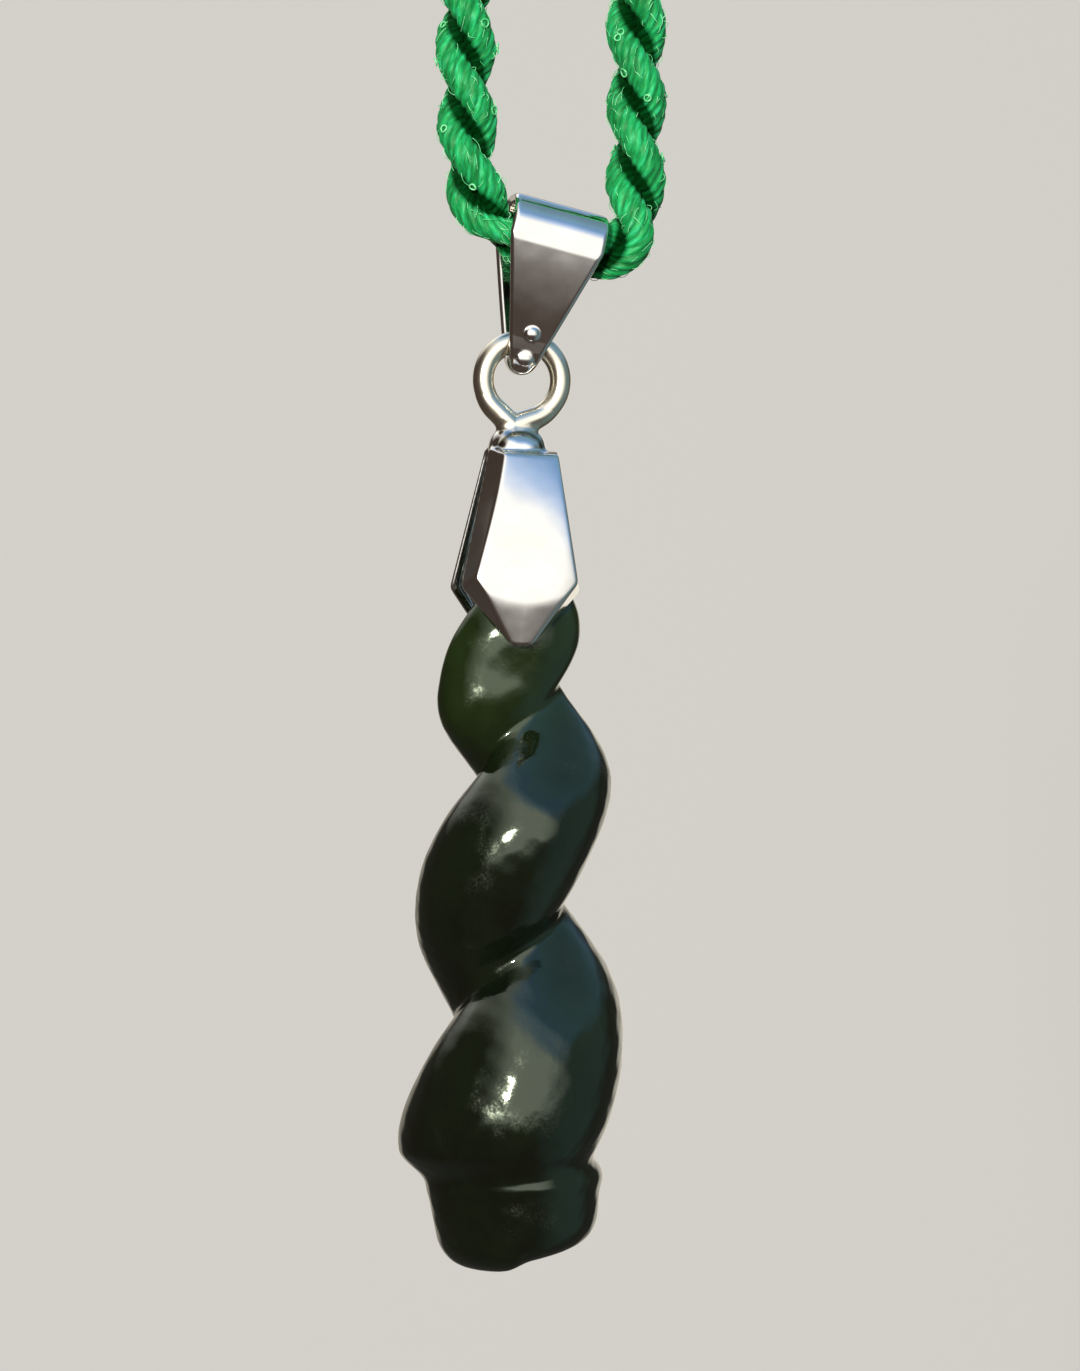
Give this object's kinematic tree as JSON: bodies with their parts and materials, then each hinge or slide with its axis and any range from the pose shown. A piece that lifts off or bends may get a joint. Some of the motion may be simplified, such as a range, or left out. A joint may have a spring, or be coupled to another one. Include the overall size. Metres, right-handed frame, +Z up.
{
  "type": "shell-shaped stone pendant on a looped cord",
  "caption": "Dark green carved stone pendant, a spiral shell, held by a faceted silver pinch bail whose ring hangs from a folded strap bail on a twisted green cord.",
  "frame": {"origin": "the place where the cord loop hangs: under the cord, at the top of its arch", "axes": "+Z up along the hanging pendant, +X to the right of the front view, -Y at the front"},
  "size_m": [0.0129, 0.0103, 0.086],
  "materials": {
    "green_cord": "two-ply twisted nylon, satin yarns",
    "silver": "polished silver with fine handling scratches",
    "green_stone": "polished dark green nephrite, a little translucent at thin edges"
  },
  "bodies": {
    "cord_loop": {"cord": "green_cord"},
    "strap": {"strap_bail": "silver"},
    "holder": {"pinch_bail": "silver"},
    "drop": {"stone": "green_stone"}
  },
  "joints": [
    {"name": "bail_swing", "type": "hinge", "parent": "cord_loop", "child": "strap", "pos_m": [0.0013, 0, -0.03567], "axis": [0.9703, 0, -0.2419], "range_deg": [-90, 90]},
    {"name": "drop_swing", "type": "hinge", "parent": "strap", "child": "holder", "pos_m": [0, 0, -0.042], "axis": [0, 1, 0], "range_deg": [-60, 60]},
    {"name": "stone_swing", "type": "hinge", "parent": "holder", "child": "drop", "pos_m": [-0.00044, 0, -0.05339], "axis": [0, 1, 0], "range_deg": [-10, 10]}
  ]
}
